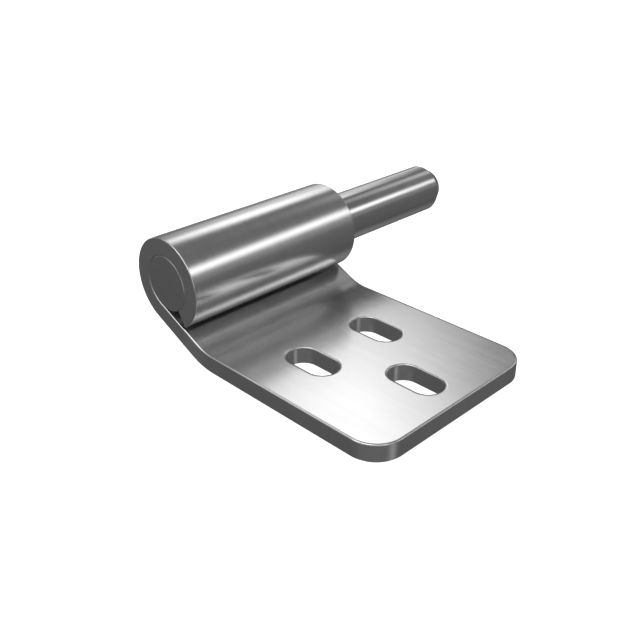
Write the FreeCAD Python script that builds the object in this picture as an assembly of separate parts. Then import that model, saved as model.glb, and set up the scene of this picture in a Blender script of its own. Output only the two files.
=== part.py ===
# Pin half of a lift-off hinge for a vehicle cab door, in millimetres.
#
# One strip of steel sheet is a slotted mounting plate, is cranked up from it and is curled into
# an eye. A round pin is held in the eye and stands out past one end of it, and the other half
# of the hinge drops on to that end. The origin is on the hinge axis in the plane of the
# shoulder that the other half bears on. +X runs along the axis to the pin's tip, the plate
# reaches towards -Y, and +Z points away from the surface that the plate is bolted to.
import FreeCAD, Part
import math
import os

from FreeCAD import Vector

# Sheet, bends and curl
sheet = 5.0
leaf_width = 61.0
axis_height = 20.7
slope_angle = 25.0
bend_r = 15.0
curl_gap = 1.1

# Mounting plate: from the end of the bend to the first row of slots, then on to the outer edge
bend_to_slots = 20.3
slot_row_pitch = 25.0
slots_to_edge = 14.25
corner_r = 8.5

# Slots for the bolts
slot_width = 9.0
slot_length = 16.2
slot_side_pitch = 25.0

# Pin: its seat fills the eye, and the part that turns in the other half is a little thinner
pin_seat_r = 8.0
pin_relief = 0.2
seat_clearance = 0.05
pin_reach = 51.0
tip_length = 4.0
tip_angle = 30.0

# Rounding of the sheet's edges, and the deburring chamfer of the slots' lower rims and pin's ends
edge_r = 0.3
deburr = 0.2

# How far a cutter runs past the sheet on each side
cut_past = 1.0

# Faces that meet at less than this angle run on smoothly, and directions or places that differ
# by less than this length are the same
smooth_turn = math.radians(10)
tiny = 1e-6

# Sizes that follow from those above
eye_r = pin_seat_r + seat_clearance
knuckle_r = eye_r + sheet
pin_run_r = pin_seat_r - pin_relief
slope = math.radians(slope_angle)

# In the section, "out" is the distance from the hinge axis towards the plate's outer edge and
# angles run from there towards +Z. The slope's lower face looks down at this angle, and both
# the bend and the curl meet the slope where their radius points along it.
slope_side = -math.pi / 2 - slope

# The bend turns about a point above the plate. Its lower surface is level with the underside at
# one end and is in line with the curl's outer surface at the other.
bend_outer_r = bend_r + sheet
bend_up = bend_outer_r - axis_height
bend_out = (knuckle_r - bend_outer_r - bend_up * math.sin(slope_side)) / math.cos(slope_side)

# The curl stops where its outer corner is curl_gap short of the slope's upper face.
curl_end = -math.asin((eye_r - curl_gap) / knuckle_r) - slope
curl_start = slope_side + 2 * math.pi

inner_slots_out = bend_out + bend_to_slots
outer_slot_out = inner_slots_out + slot_row_pitch
plate_out = outer_slot_out + slots_to_edge


def at(out, up):
    """A point of the section, in the plane of the shoulder."""
    return Vector(0, -out, up)


def around(centre, radius, angle):
    """The point of the section at this angle on a circle about centre."""
    return at(centre[0] + radius * math.cos(angle), centre[1] + radius * math.sin(angle))


def line(start, end):
    return Part.LineSegment(start, end).toShape()


def arc(centre, radius, start_angle, end_angle):
    ends = [around(centre, radius, angle) for angle in (start_angle, end_angle)]
    middle = around(centre, radius, (start_angle + end_angle) / 2)
    return Part.Arc(ends[0], middle, ends[1]).toShape()


def leaf_section():
    """The folded sheet seen along the hinge axis: plate, bend, slope and curl."""
    axis = (0, 0)
    bend = (bend_out, bend_up)
    underside = -axis_height
    top = underside + sheet
    lower = [
        line(at(plate_out, underside), at(bend_out, underside)),
        arc(bend, bend_outer_r, -math.pi / 2, slope_side),
        line(around(bend, bend_outer_r, slope_side), around(axis, knuckle_r, slope_side)),
        arc(axis, knuckle_r, curl_start, curl_end),
    ]
    upper = [
        arc(axis, eye_r, curl_end, curl_start),
        line(around(axis, eye_r, slope_side), around(bend, bend_r, slope_side)),
        arc(bend, bend_r, slope_side, -math.pi / 2),
        line(at(bend_out, top), at(plate_out, top)),
    ]
    end_of_curl = line(around(axis, knuckle_r, curl_end), around(axis, eye_r, curl_end))
    outer_edge = line(at(plate_out, top), at(plate_out, underside))
    return Part.Face(Part.Wire(lower + [end_of_curl] + upper + [outer_edge]))


def slot_cutter(out, along):
    """A round-ended slot that runs towards the plate's edge, centred at out and along."""
    half_run = (slot_length - slot_width) / 2
    low = -axis_height - cut_past
    near = out - half_run
    far = out + half_run
    left = along - slot_width / 2
    right = along + slot_width / 2
    corners = [
        Vector(left, -near, low),
        Vector(left, -far, low),
        Vector(right, -far, low),
        Vector(right, -near, low),
    ]
    far_end = Vector(along, -far - slot_width / 2, low)
    near_end = Vector(along, -near + slot_width / 2, low)
    outline = Part.Wire([
        line(corners[0], corners[1]),
        Part.Arc(corners[1], far_end, corners[2]).toShape(),
        line(corners[2], corners[3]),
        Part.Arc(corners[3], near_end, corners[0]).toShape(),
    ])
    return Part.Face(outline).extrude(Vector(0, 0, sheet + 2 * cut_past))


def is_sharp(shape, edge):
    """Whether the two faces that meet at this edge turn through an angle there."""
    middle = edge.valueAt((edge.FirstParameter + edge.LastParameter) / 2)
    normals = []
    for face in shape.ancestorsOfType(edge, Part.Face):
        normals.append(face.normalAt(*face.Surface.parameter(middle)))
    return len(normals) == 2 and normals[0].getAngle(normals[1]) > smooth_turn


def sharp_edges(shape):
    return [edge for edge in shape.Edges if is_sharp(shape, edge)]


def is_upright(edge):
    """Whether this edge runs straight along Z, as only the plate's outer corners do."""
    upright = Vector(0, 0, 1)
    return edge.tangentAt(edge.FirstParameter).cross(upright).Length < tiny


def make_leaf():
    """The slots are punched from above, which rolls their upper rims over but not the lower ones."""
    leaf = leaf_section().extrude(Vector(-leaf_width, 0, 0))
    leaf = leaf.makeFillet(corner_r, [edge for edge in leaf.Edges if is_upright(edge)])
    leaf = leaf.makeFillet(edge_r, sharp_edges(leaf))
    middle = -leaf_width / 2
    slots = [
        slot_cutter(inner_slots_out, middle - slot_side_pitch / 2),
        slot_cutter(inner_slots_out, middle + slot_side_pitch / 2),
        slot_cutter(outer_slot_out, middle),
    ]
    for slot in slots:
        leaf = leaf.cut(slot)
    mid_sheet = sheet / 2 - axis_height
    upper_rims = [rim for rim in sharp_edges(leaf) if rim.CenterOfMass.z > mid_sheet]
    leaf = leaf.makeFillet(edge_r, upper_rims)
    return leaf.makeChamfer(deburr, sharp_edges(leaf))


def make_pin():
    """Flush with the knuckle at one end, with a long lead-in chamfer at the other."""
    tip_start = pin_reach - tip_length
    tip_r = pin_run_r - tip_length * math.tan(math.radians(tip_angle))
    half_section = [
        Vector(-leaf_width, 0, 0),
        Vector(-leaf_width, 0, pin_seat_r),
        Vector(-pin_relief, 0, pin_seat_r),
        Vector(0, 0, pin_run_r),
        Vector(tip_start, 0, pin_run_r),
        Vector(pin_reach, 0, tip_r),
        Vector(pin_reach, 0, 0),
    ]
    outline = Part.makePolygon(half_section + half_section[:1])
    pin = Part.Face(outline).revolve(Vector(0, 0, 0), Vector(1, 0, 0), 360)
    end_rims = []
    for edge in pin.Edges:
        for x in (-leaf_width, pin_reach):
            if isinstance(edge.Curve, Part.Circle) and abs(edge.Curve.Center.x - x) < tiny:
                end_rims.append(edge)
    return pin.makeChamfer(deburr, end_rims)


os.makedirs("parts", exist_ok=True)
for name, shape in (("leaf", make_leaf()), ("pin", make_pin())):
    shape.exportStep(os.path.join("parts", name + ".step"))
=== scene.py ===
# Looks of the pin half of a lift-off hinge for a vehicle cab door, in metres.
#
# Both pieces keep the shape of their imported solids. The leaf is bright rolled sheet whose grain
# runs along the strip, over the plate and round the curl. The pin is bright drawn bar, turned at
# its ends and tip. Light comes from soft boxes and glows all round the hinge.
import bpy
import math

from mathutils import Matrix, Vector


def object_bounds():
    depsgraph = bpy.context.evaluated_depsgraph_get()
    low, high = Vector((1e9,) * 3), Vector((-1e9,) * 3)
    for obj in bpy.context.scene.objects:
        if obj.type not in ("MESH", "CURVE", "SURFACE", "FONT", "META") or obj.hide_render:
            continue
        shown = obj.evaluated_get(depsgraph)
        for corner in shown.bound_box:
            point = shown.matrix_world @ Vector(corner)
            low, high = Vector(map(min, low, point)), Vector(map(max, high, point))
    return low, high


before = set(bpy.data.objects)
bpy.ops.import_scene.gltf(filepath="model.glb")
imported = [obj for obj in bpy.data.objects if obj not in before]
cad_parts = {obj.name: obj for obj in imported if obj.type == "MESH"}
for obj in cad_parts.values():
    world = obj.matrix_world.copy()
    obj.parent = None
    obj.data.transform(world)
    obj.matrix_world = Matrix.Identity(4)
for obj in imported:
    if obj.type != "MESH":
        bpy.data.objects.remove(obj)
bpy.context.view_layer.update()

MM = 0.001

# Camera, at the photograph's viewing angle
CAMERA_AT = Vector((-178.4, -177.0, 101.7)) * MM
CAMERA_HEADING = -44.88
CAMERA_DIP = 28.45
SENSOR_WIDTH = 36
LENS = 48.02
NEAREST_SEEN = 0.005

# Floor, which curves up into a wall all round. It glows a little, which takes it up to white.
FLOOR_GAP = 0.02 * MM
FLOOR_RADIUS = 1.4
WALL_CURVE = 0.8
WALL_HEIGHT = 1.6
STEPS_ROUND = 96
STEPS_UP = 12
FLOOR_TONE = 0.93
FLOOR_GLOW = 0.8

# Light of the studio. The sky fades below the horizon into the weaker light off the ground, and is
# gone where a direction of length 1 drops by GROUND_DROP. The soft boxes add to that. Each has a
# direction, as its angle from the hinge axis and its turn about that axis from the plate's side
# upwards. Then come its length away from the axis and its width about it, the width of its soft
# rim, how far it turns for each degree of its length, and its strength, which is negative for a
# flag. The sizes are in degrees.
SKY = 0.147
GROUND = 0.085
GROUND_DROP = 0.7
SOFT_BOXES = [
    ("strip over the plate", 54, 37, 30, 14, 14, -0.45, 2.5),
    ("glow below that strip", 50, 16, 30, 8, 12, -0.45, 0.22),
    ("box behind the knuckle", 54, 130, 13, 20, 11, 0, 2.3),
    ("black flag at the corner of that box", 59.5, 123, 7, 10, 7, 0, -0.8),
    ("small glow at the top of that box", 54, 143, 8, 8, 8, 0, 0.6),
    ("glow beyond that box", 48, 156, 20, 26, 16, 0, 0.75),
    ("low glow at the horizon beyond", 53, 194, 34, 26, 6, 0, 0.1),
    ("box over the flush end", 124, 90, 32, 48, 16, 0, 2.5),
    ("glow below that box", 112, 30, 44, 64, 24, 0, 0.75),
    ("light off the floor", 66, -94, 52, 44, 30, 0, 0.2),
    ("low strip in front", 80, -34, 14, 22, 14, 0, 0.5),
    ("low glow below the tip", 42, -44, 16, 36, 18, 0, 0.035),
    ("small box over the tip", 36, 96, 20, 18, 14, 0, 0.75),
    ("strip over the shoulder", 90, 46, 22, 16, 12, 0, 1.5),
    ("box behind the shoulder", 90, 130, 24, 22, 14, 0, 1.2),
    ("glow overhead", 92, 92, 36, 60, 30, 0, 0.35),
    ("low glow behind the shoulder", 96, 172, 24, 20, 12, 0, 0.7),
    ("strip over the far side", 145, 58, 40, 22, 16, 0, 1.4),
    ("box over the far side", 140, 138, 50, 34, 24, 0, 0.7),
    ("panel past the flush end", 170, 80, 40, 90, 26, 0, 0.5),
    ("low panel past the flush end", 172, -90, 30, 130, 14, 0, 0.3),
    ("panel past the tip", 24, 84, 24, 70, 12, 0, 0.6),
    ("low panel past the tip", 8, -80, 24, 90, 8, 0, 0.15),
    ("low glow in front", 120, -60, 60, 80, 30, 0, 0.05),
]

# Sizes of the part, in millimetres, that the wear follows. Out is the distance from the hinge
# axis towards the plate's outer edge, and the slots' places are along the axis and out.
LEAF_MIDDLE = -30.5
LEAF_HALF = 30.5
PLATE_OUT = 77.496
CORNER_R = 8.5
SLOT_HALF = 4.5
SLOT_HALF_RUN = 3.6
SLOTS = [(-43.0, 38.246), (-18.0, 38.246), (-30.5, 63.246)]
CURL_R = 13.05
SLOPE = math.radians(25)
SLOPE_FOOT_OUT = 11.607
SLOPE_FOOT_UP = -14.295
PIN_SEAT_R = 8.0

# Steel: share of metal, tone and roughness
METALLIC = 0.95
LEAF_TONE = 0.6
PIN_TONE = 0.58
LEAF_ROUGHNESS = 0.235
PIN_ROUGHNESS = 0.2

# The values that noise mostly keeps between
NOISE_RANGE = (0.3, 0.7)

# Roll-over that shearing and punching leave on the sheet's upper face, beside an edge: its reach
# in from the edge, where the solid's own rounding of the edge ends, and the slope at the edge
ROLL_REACH = 0.8
ROLL_START = 0.25
ROLL_SLOPE = 0.45

# Where one thing on the leaf goes over into another: the curl's outer face into what lies beyond
# it, by distance from the hinge axis, and a cut face into the face beside it, by distance in from
# the edge. Then the top and foot of the painted shade in the nip, a darkening of the curl's colour
# where it comes down to the slope, by turn in degrees, and the underside that it keeps to, by how
# far the surface faces up. Last, burnished steel into plain steel, by distance from the foot of the
# slope. Distances are in millimetres.
CURL_FACE = (CURL_R + 0.15, CURL_R + 0.45)
CUT_FACE = (0.03, 0.2)
NIP_SHADE_TOP = (-56, -30)
NIP_SHADE_FOOT = (-75, -62)
NIP_SHADE_FACING = (-0.3, -0.1)
POLISH_REACH = (1.5, 6)

# Scratches: length, width and depth of one patch of noise for each millimetre of their spacing,
# and how high the noise has to be for a scratch
SCRATCH_SHAPE = (14, 0.12, 3)
SCRATCH_NOISE = (0.76, 0.82)

# The pin's ends and tip, from drawn to turned by how squarely they face along the axis, the
# width of one turning ring, and the chamfer of the seat's end with how far it is leaned back
TURNED_FACING = (0.2, 0.4)
RING_WIDTH = 0.25
CHAMFER = (PIN_SEAT_R - 0.25, PIN_SEAT_R - 0.2)
CHAMFER_LEAN = -0.35


class Nodes:
    """A node tree with short calls for the nodes that are used over and over."""

    def __init__(self, tree):
        self.tree = tree
        tree.nodes.clear()

    def add(self, kind, **settings):
        node = self.tree.nodes.new(kind)
        for name, value in settings.items():
            setattr(node, name, value)
        return node

    def feed(self, socket, value):
        """Link a socket to value if that is an output, and set it to value unless it is None."""
        if isinstance(value, bpy.types.NodeSocket):
            self.tree.links.new(value, socket)
        elif value is not None:
            socket.default_value = value

    def math(self, operation, first, second=None, third=None):
        node = self.add("ShaderNodeMath", operation=operation)
        for socket, value in zip(node.inputs, (first, second, third)):
            self.feed(socket, value)
        return node.outputs[0]

    def vector(self, operation, first, second=None):
        node = self.add("ShaderNodeVectorMath", operation=operation)
        self.feed(node.inputs[0], first)
        self.feed(node.inputs[1], second)
        return node.outputs["Value" if operation == "LENGTH" else "Vector"]

    def remap(self, value, low, high, new_low=0.0, new_high=1.0, kind="SMOOTHSTEP"):
        node = self.add("ShaderNodeMapRange", interpolation_type=kind)
        for name, number in (
            ("Value", value),
            ("From Min", low),
            ("From Max", high),
            ("To Min", new_low),
            ("To Max", new_high),
        ):
            self.feed(node.inputs[name], number)
        return node.outputs["Result"]

    def noise(self, coordinates, detail):
        node = self.add("ShaderNodeTexNoise")
        self.feed(node.inputs["Vector"], coordinates)
        self.feed(node.inputs["Scale"], 1.0)
        self.feed(node.inputs["Detail"], detail)
        return node.outputs["Fac"]


def soft_box(nodes, from_axis, turn, angle, middle, length, width, rim, slant):
    """How much of this box is seen from 0 to 1, in the direction given by from_axis and turn."""
    along = nodes.math("SUBTRACT", from_axis, angle)
    middle = nodes.math("MULTIPLY_ADD", along, slant, middle)
    across = nodes.math("WRAP", nodes.math("SUBTRACT", turn, middle), 180, -180)
    seen = 1.0
    for offset, size in ((along, length), (across, width)):
        offset = nodes.math("ABSOLUTE", offset)
        inside = nodes.remap(offset, (size - rim) / 2, (size + rim) / 2, 1, 0)
        seen = nodes.math("MULTIPLY", inside, seen)
    return seen


def make_studio_light():
    world = bpy.data.worlds.new("studio")
    bpy.context.scene.world = world
    world.use_nodes = True
    nodes = Nodes(world.node_tree)
    parts = nodes.add("ShaderNodeSeparateXYZ")
    nodes.feed(parts.inputs[0], nodes.add("ShaderNodeTexCoord").outputs["Generated"])
    along, back, up = parts.outputs
    from_axis = nodes.math("DEGREES", nodes.math("ARCCOSINE", along))
    out = nodes.math("MULTIPLY", back, -1.0)
    turn = nodes.math("DEGREES", nodes.math("ARCTAN2", up, out))
    light = nodes.remap(up, -GROUND_DROP, 0, GROUND, SKY)
    for name, angle, middle, length, width, rim, slant, strength in SOFT_BOXES:
        seen = soft_box(nodes, from_axis, turn, angle, middle, length, width, rim, slant)
        seen.node.label = name
        light = nodes.math("MULTIPLY_ADD", seen, strength, light)
    background = nodes.add("ShaderNodeBackground")
    nodes.feed(background.inputs["Color"], light)
    output = nodes.add("ShaderNodeOutputWorld")
    nodes.feed(output.inputs["Surface"], background.outputs[0])


def floor_profile():
    """Radius and height of each ring of the floor and wall, from the middle outwards."""
    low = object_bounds()[0][2] - FLOOR_GAP
    profile = [(0.0, low), (FLOOR_RADIUS, low)]
    for step in range(1, STEPS_UP + 1):
        turn = math.pi / 2 * step / STEPS_UP
        radius = FLOOR_RADIUS + WALL_CURVE * math.sin(turn)
        profile.append((radius, low + WALL_CURVE * (1 - math.cos(turn))))
    profile.append((FLOOR_RADIUS + WALL_CURVE, low + WALL_HEIGHT))
    return profile


def floor_mesh():
    (radius, low), *rings = floor_profile()
    points = [(radius, 0.0, low)]
    faces = []
    for radius, height in rings:
        for step in range(STEPS_ROUND):
            turn = 2 * math.pi * step / STEPS_ROUND
            points.append((radius * math.cos(turn), radius * math.sin(turn), height))
    for step in range(STEPS_ROUND):
        after = (step + 1) % STEPS_ROUND
        faces.append((0, 1 + step, 1 + after))
        for ring in range(len(rings) - 1):
            inner = 1 + ring * STEPS_ROUND
            outer = inner + STEPS_ROUND
            faces.append((inner + step, outer + step, outer + after, inner + after))
    mesh = bpy.data.meshes.new("floor")
    mesh.from_pydata(points, [], faces)
    mesh.shade_smooth()
    return mesh


def make_floor():
    """A pale floor that runs up into a wall all round. Metal doesn't mirror it."""
    material = bpy.data.materials.new("pale_floor")
    material.use_nodes = True
    shader = material.node_tree.nodes["Principled BSDF"]
    shader.inputs["Base Color"].default_value = (FLOOR_TONE, FLOOR_TONE, FLOOR_TONE, 1)
    shader.inputs["Roughness"].default_value = 1.0
    shader.inputs["Specular IOR Level"].default_value = 0.0
    shader.inputs["Emission Color"].default_value = (1, 1, 1, 1)
    shader.inputs["Emission Strength"].default_value = FLOOR_GLOW
    mesh = floor_mesh()
    mesh.materials.append(material)
    floor = bpy.data.objects.new("floor", mesh)
    bpy.context.scene.collection.objects.link(floor)
    floor.visible_glossy = False
    floor.visible_diffuse = False
    floor.visible_shadow = False


def make_camera():
    data = bpy.data.cameras.new("camera")
    data.sensor_width = SENSOR_WIDTH
    data.lens = LENS
    data.clip_start = NEAREST_SEEN
    camera = bpy.data.objects.new("camera", data)
    camera.location = CAMERA_AT
    camera.rotation_euler = (math.radians(90 - CAMERA_DIP), 0, math.radians(CAMERA_HEADING))
    bpy.context.scene.collection.objects.link(camera)
    bpy.context.scene.camera = camera


class Steel(Nodes):
    """A bare steel material on its way. Places are in millimetres: along the axis, out and up."""

    def __init__(self, name, tone, roughness):
        self.material = bpy.data.materials.new(name)
        self.material.use_nodes = True
        super().__init__(self.material.node_tree)
        self.tone = tone
        self.rough = roughness
        coordinates = self.add("ShaderNodeTexCoord").outputs["Object"]
        self.place = self.vector("MULTIPLY", coordinates, (1 / MM, -1 / MM, 1 / MM))
        self.along, self.out, self.up = self.split(self.place)
        self.normal = self.add("ShaderNodeNewGeometry").outputs["Normal"]
        self.radius = self.vector("LENGTH", self.join(0.0, self.out, self.up))

    def split(self, vector):
        node = self.add("ShaderNodeSeparateXYZ")
        self.feed(node.inputs[0], vector)
        return node.outputs

    def join(self, x, y, z):
        node = self.add("ShaderNodeCombineXYZ")
        for socket, value in zip(node.inputs, (x, y, z)):
            self.feed(socket, value)
        return node.outputs[0]

    def grain(self, along, out, up, detail=2.0):
        """Noise drawn out by these periods, in millimetres."""
        return self.noise(self.vector("DIVIDE", self.place, (along, out, up)), detail)

    def vary(self, value, noise, amount):
        """Move value up and down by amount times itself, as noise runs over its range."""
        swing = self.remap(noise, *NOISE_RANGE, 1 - amount, 1 + amount, "LINEAR")
        return self.math("MULTIPLY", value, swing)

    def blend(self, mask, first, second):
        node = self.add("ShaderNodeMix", data_type="FLOAT")
        for name, value in (("Factor", mask), ("A", first), ("B", second)):
            self.feed(node.inputs[name], value)
        return node.outputs["Result"]

    def lean(self, direction, amount):
        """Tip the surface normal towards direction."""
        tipped = self.vector("MULTIPLY", direction, self.join(amount, amount, amount))
        self.normal = self.vector("NORMALIZE", self.vector("ADD", self.normal, tipped))

    def emboss(self, height, depth):
        """Raise the surface by depth millimetres where height is 1."""
        node = self.add("ShaderNodeBump")
        self.feed(node.inputs["Strength"], 1.0)
        self.feed(node.inputs["Distance"], depth * MM)
        self.feed(node.inputs["Height"], height)
        self.feed(node.inputs["Normal"], self.normal)
        self.normal = node.outputs["Normal"]

    def mottle(self, noise, tone=0.0, rough=0.0, depth=0.0):
        """Let noise move tone and roughness by these shares of themselves and raise the surface."""
        if tone:
            self.tone = self.vary(self.tone, noise, tone)
        if rough:
            self.rough = self.vary(self.rough, noise, rough)
        if depth:
            self.emboss(noise, depth)

    def mark(self, mask, tone=0.0, rough=0.0, depth=0.0):
        """Add these to the tone and roughness and raise the surface where mask is 1."""
        if tone:
            self.tone = self.math("MULTIPLY_ADD", mask, tone, self.tone)
        if rough:
            self.rough = self.math("MULTIPLY_ADD", mask, rough, self.rough)
        if depth:
            self.emboss(mask, depth)

    def finish(self):
        shader = self.add("ShaderNodeBsdfPrincipled")
        self.feed(shader.inputs["Base Color"], self.join(self.tone, self.tone, self.tone))
        self.feed(shader.inputs["Metallic"], METALLIC)
        self.feed(shader.inputs["Roughness"], self.rough)
        self.feed(shader.inputs["Normal"], self.normal)
        output = self.add("ShaderNodeOutputMaterial")
        self.feed(output.inputs["Surface"], shader.outputs[0])
        return self.material


def off_curl(steel):
    """0 on the curl and inside it, and 1 beyond its outer face."""
    return steel.remap(steel.radius, *CURL_FACE)


def roll_rim(steel, inset, towards, upper):
    """Roll the surface over within reach of an edge, inset millimetres away. Returns nearness."""
    near = steel.remap(inset, ROLL_START, ROLL_REACH, 1, 0, "LINEAR")
    near = steel.math("MULTIPLY", near, upper)
    x, out, up = steel.split(steel.vector("NORMALIZE", towards))
    direction = steel.join(x, steel.math("MULTIPLY", out, -1.0), up)
    steel.lean(direction, steel.math("MULTIPLY", near, ROLL_SLOPE))
    return near


def outer_edge(steel):
    """How far in from the leaf's outline a place is, and the way out to it."""
    side = steel.math("SUBTRACT", steel.along, LEAF_MIDDLE)
    past = steel.math("SUBTRACT", steel.math("ABSOLUTE", side), LEAF_HALF - CORNER_R)
    x = steel.math("MULTIPLY", steel.math("MAXIMUM", past, 0.0), steel.math("SIGN", side))
    out = steel.math("SUBTRACT", steel.out, PLATE_OUT - CORNER_R)
    towards = steel.join(x, steel.math("MAXIMUM", out, 0.0), 0.0)
    inset = steel.math("SUBTRACT", CORNER_R, steel.vector("LENGTH", towards))
    return inset, towards


def slot_edge(steel, slot_along, slot_out):
    """How far from this slot a place is, and the way to it."""
    x = steel.math("SUBTRACT", steel.along, slot_along)
    out = steel.math("SUBTRACT", steel.out, slot_out)
    held = steel.math("MINIMUM", steel.math("MAXIMUM", out, -SLOT_HALF_RUN), SLOT_HALF_RUN)
    away = steel.join(x, steel.math("SUBTRACT", out, held), 0.0)
    inset = steel.math("SUBTRACT", steel.vector("LENGTH", away), SLOT_HALF)
    return inset, steel.vector("MULTIPLY", away, (-1, -1, -1))


def leaf_rims(steel):
    """Nearness to a sheared or punched edge, and whether the surface is itself such an edge."""
    near = 0.0
    cut = 0.0
    upper = off_curl(steel)
    edges = [outer_edge(steel)]
    for slot_along, slot_out in SLOTS:
        edges.append(slot_edge(steel, slot_along, slot_out))
    for inset, towards in edges:
        near = steel.math("MAXIMUM", near, roll_rim(steel, inset, towards, upper))
        cut = steel.math("MAXIMUM", cut, steel.remap(inset, *CUT_FACE, 1, 0))
    return near, cut


def painted_nip_shade(steel):
    """Painted shade on the curl where it comes down to the slope, from 0 to 1: it darkens the
    colour where shade falls in the nip.
    """
    turn = steel.math("DEGREES", steel.math("ARCTAN2", steel.up, steel.out))
    facing_up = steel.split(steel.normal)[2]
    nip_shade = steel.remap(turn, *NIP_SHADE_TOP, 1, 0)
    nip_shade = steel.math("MULTIPLY", nip_shade, steel.remap(turn, *NIP_SHADE_FOOT))
    nip_shade = steel.math("MULTIPLY", nip_shade, steel.remap(steel.radius, *CURL_FACE, 1, 0))
    return steel.math("MULTIPLY", nip_shade, steel.remap(facing_up, *NIP_SHADE_FACING, 1, 0))


def press_polish(steel):
    """How far the press has burnished the sheet, at the foot of the slope and on the slope."""
    out = steel.math("SUBTRACT", steel.out, SLOPE_FOOT_OUT)
    up = steel.math("SUBTRACT", steel.up, SLOPE_FOOT_UP)
    climb = steel.math("MULTIPLY", up, math.sin(SLOPE))
    climb = steel.math("MULTIPLY_ADD", out, -math.cos(SLOPE), climb)
    polish = steel.remap(steel.math("ABSOLUTE", climb), *POLISH_REACH, 1, 0)
    return steel.math("MULTIPLY", polish, off_curl(steel))


def scratches_at(steel, turn, spacing):
    """Sparse fine scratches at this turn, in degrees, from the hinge axis."""
    node = steel.add("ShaderNodeVectorRotate", rotation_type="Z_AXIS")
    steel.feed(node.inputs["Vector"], steel.place)
    steel.feed(node.inputs["Angle"], math.radians(turn))
    shape = [spacing * share for share in SCRATCH_SHAPE]
    stretched = steel.vector("DIVIDE", node.outputs[0], shape)
    return steel.remap(steel.noise(stretched, detail=1.0), *SCRATCH_NOISE)


def leaf_steel():
    """Bright rolled sheet: grain along the strip, over the plate and round the curl."""
    steel = Steel("sheet_steel", LEAF_TONE, LEAF_ROUGHNESS)
    near, cut = leaf_rims(steel)
    # Painted shade: the curl's colour is darkened where it comes down to the slope.
    nip_shade = painted_nip_shade(steel)
    polish = press_polish(steel)
    rolled = steel.grain(along=0.35, out=12, up=12)
    sheared = steel.grain(along=0.35, out=0.35, up=6)
    broad = steel.grain(along=2.4, out=40, up=40)
    smudge = steel.grain(along=17, out=17, up=17, detail=3.0)
    scratches = steel.math(
        "MAXIMUM",
        scratches_at(steel, turn=62, spacing=4.0),
        scratches_at(steel, turn=-18, spacing=5.5),
    )
    lines = steel.blend(cut, rolled, sheared)
    steel.mottle(lines, tone=0.02, rough=0.05, depth=0.0003)
    steel.mottle(broad, tone=0.015)
    steel.mottle(smudge, tone=0.025, rough=0.06, depth=0.006)
    steel.mark(near, tone=0.03)
    # Painted shade in the nip: darker colour where shade falls between curl and slope.
    steel.mark(nip_shade, tone=-0.32)
    steel.mark(polish, tone=0.1)
    steel.mark(scratches, rough=0.01, depth=-0.0003)
    steel.mark(cut, rough=0.07)
    return steel.finish()


def pin_steel():
    """Bright drawn bar: die lines along it, and turning rings on its ends and tip."""
    steel = Steel("pin_steel", PIN_TONE, PIN_ROUGHNESS)
    facing = steel.math("ABSOLUTE", steel.split(steel.normal)[0])
    turned = steel.remap(facing, *TURNED_FACING)
    outward = steel.join(0.0, steel.math("MULTIPLY", steel.out, -1.0), steel.up)
    outward = steel.vector("NORMALIZE", outward)
    chamfer = steel.remap(steel.radius, *CHAMFER, kind="LINEAR")
    amount = steel.math("MULTIPLY", turned, CHAMFER_LEAN)
    steel.lean(outward, steel.math("MULTIPLY", chamfer, amount))
    drawn = steel.grain(along=30, out=0.3, up=0.3, detail=3.0)
    ring = steel.math("DIVIDE", steel.radius, RING_WIDTH)
    rings = steel.noise(steel.join(ring, 0.0, 0.0), detail=3.0)
    smudge = steel.grain(along=11, out=11, up=11, detail=3.0)
    lines = steel.blend(turned, drawn, rings)
    steel.mottle(lines, tone=0.02, rough=0.08, depth=0.00015)
    steel.mottle(smudge, tone=0.02, rough=0.1, depth=0.004)
    steel.mark(turned, rough=0.05)
    return steel.finish()


def dress(name, material):
    """Give a piece this one material."""
    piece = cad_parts[name]
    piece.data.materials.clear()
    piece.data.materials.append(material)


make_camera()
make_studio_light()
make_floor()
dress("leaf", leaf_steel())
dress("pin", pin_steel())
bpy.context.scene.view_settings.view_transform = "Standard"
